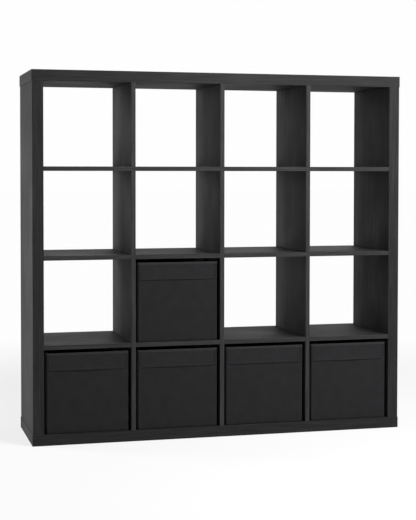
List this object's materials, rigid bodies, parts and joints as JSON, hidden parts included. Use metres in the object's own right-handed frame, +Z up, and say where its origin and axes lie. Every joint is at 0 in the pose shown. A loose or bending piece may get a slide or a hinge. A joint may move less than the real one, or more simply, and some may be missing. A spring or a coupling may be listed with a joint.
{
  "type": "cube storage unit",
  "caption": "Open-backed cube storage unit of black wood-effect boards in a thick frame, with black fabric boxes that slide out of some of its cells.",
  "frame": {"origin": "on the floor, under the middle of the unit", "axes": "+X along the width, to the right seen from the front; +Y from front to back; +Z up"},
  "size_m": [1.471, 0.39, 1.411],
  "materials": {
    "black_foil": "matt black-brown wood-effect foil with fine straight grain",
    "dowel_wood": "plain turned beech",
    "screw_steel": "zinc-plated steel",
    "black_fabric": "matt black pressed polyester felt",
    "black_lining": "thin matt black polyester",
    "black_binding": "black ribbed binding tape",
    "paperboard": "grey-brown paperboard, closed in by the fabric",
    "covered_board": "board covered in black polyester"
  },
  "bodies": {
    "unit": {"top_panel": "black_foil", "bottom_panel": "black_foil", "left_side": "black_foil", "right_side": "black_foil", "upper_shelf": "black_foil", "middle_shelf_left": "black_foil", "middle_shelf_right": "black_foil", "lower_shelf_1": "black_foil", "lower_shelf_2": "black_foil", "lower_shelf_3": "black_foil", "lower_shelf_4": "black_foil", "centre_upright": "black_foil", "lower_upright_left": "black_foil", "lower_upright_right": "black_foil", "second_divider_left": "black_foil", "second_divider_right": "black_foil", "top_divider_1": "black_foil", "top_divider_2": "black_foil", "top_divider_3": "black_foil", "end_dowels": "dowel_wood", "through_dowels": "dowel_wood", "corner_screws": "screw_steel"},
    "bottom_box_1": {"bottom_box_1_cover": "black_fabric", "bottom_box_1_lining": "black_lining", "bottom_box_1_wall_boards": "paperboard", "bottom_box_1_base_board": "covered_board", "bottom_box_1_rim_binding": "black_binding", "bottom_box_1_handle_flap": "black_fabric"},
    "bottom_box_2": {"bottom_box_2_cover": "black_fabric", "bottom_box_2_lining": "black_lining", "bottom_box_2_wall_boards": "paperboard", "bottom_box_2_base_board": "covered_board", "bottom_box_2_rim_binding": "black_binding", "bottom_box_2_handle_flap": "black_fabric"},
    "bottom_box_3": {"bottom_box_3_cover": "black_fabric", "bottom_box_3_lining": "black_lining", "bottom_box_3_wall_boards": "paperboard", "bottom_box_3_base_board": "covered_board", "bottom_box_3_rim_binding": "black_binding", "bottom_box_3_handle_flap": "black_fabric"},
    "bottom_box_4": {"bottom_box_4_cover": "black_fabric", "bottom_box_4_lining": "black_lining", "bottom_box_4_wall_boards": "paperboard", "bottom_box_4_base_board": "covered_board", "bottom_box_4_rim_binding": "black_binding", "bottom_box_4_handle_flap": "black_fabric"},
    "raised_box": {"raised_box_cover": "black_fabric", "raised_box_lining": "black_lining", "raised_box_wall_boards": "paperboard", "raised_box_base_board": "covered_board", "raised_box_rim_binding": "black_binding", "raised_box_handle_flap": "black_fabric"}
  },
  "joints": [
    {"name": "bottom_box_1_slide", "type": "slide", "parent": "unit", "child": "bottom_box_1", "axis": [0, -1, 0], "range_m": [0, 0.395]},
    {"name": "bottom_box_2_slide", "type": "slide", "parent": "unit", "child": "bottom_box_2", "axis": [0, -1, 0], "range_m": [0, 0.395]},
    {"name": "bottom_box_3_slide", "type": "slide", "parent": "unit", "child": "bottom_box_3", "axis": [0, -1, 0], "range_m": [0, 0.395]},
    {"name": "bottom_box_4_slide", "type": "slide", "parent": "unit", "child": "bottom_box_4", "axis": [0, -1, 0], "range_m": [0, 0.395]},
    {"name": "raised_box_slide", "type": "slide", "parent": "unit", "child": "raised_box", "axis": [0, -1, 0], "range_m": [0, 0.395]}
  ]
}
